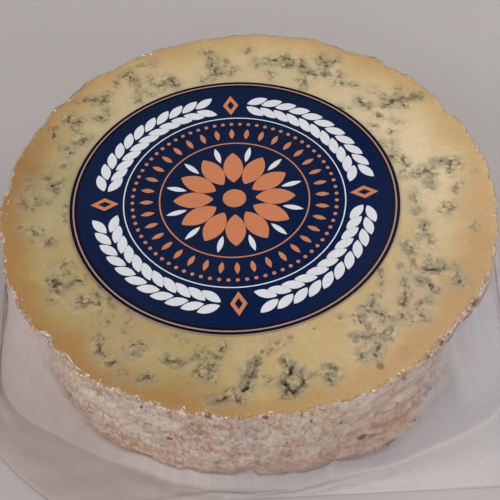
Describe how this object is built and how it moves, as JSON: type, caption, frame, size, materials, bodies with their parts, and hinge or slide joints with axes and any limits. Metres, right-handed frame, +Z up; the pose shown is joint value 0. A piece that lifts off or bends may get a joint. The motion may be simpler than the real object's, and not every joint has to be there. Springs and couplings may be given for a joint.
{
  "type": "blue stilton",
  "caption": "Level-cut round slice of blue-veined cheese with a rough rind, in a clear film pouch with a round label on top.",
  "frame": {"origin": "on the axis of the round cheese, in the middle of its flat base, on the surface it stands on", "axes": "+Z up along the cheese's axis, through the middle of its flat top; -Y is the front, towards the viewer"},
  "size_m": [0.226, 0.226, 0.0507],
  "materials": {
    "cheese": "cream to tan paste with grey-green veins, glossy under the tight film, and a whitish grey-pink rind",
    "clear_film": "clear glossy food film, wrinkled where it is loose",
    "label_print": "satin paper printed navy, cream and copper"
  },
  "bodies": {
    "root": {"cheese": "cheese", "film": "clear_film", "label": "label_print"}
  },
  "joints": []
}
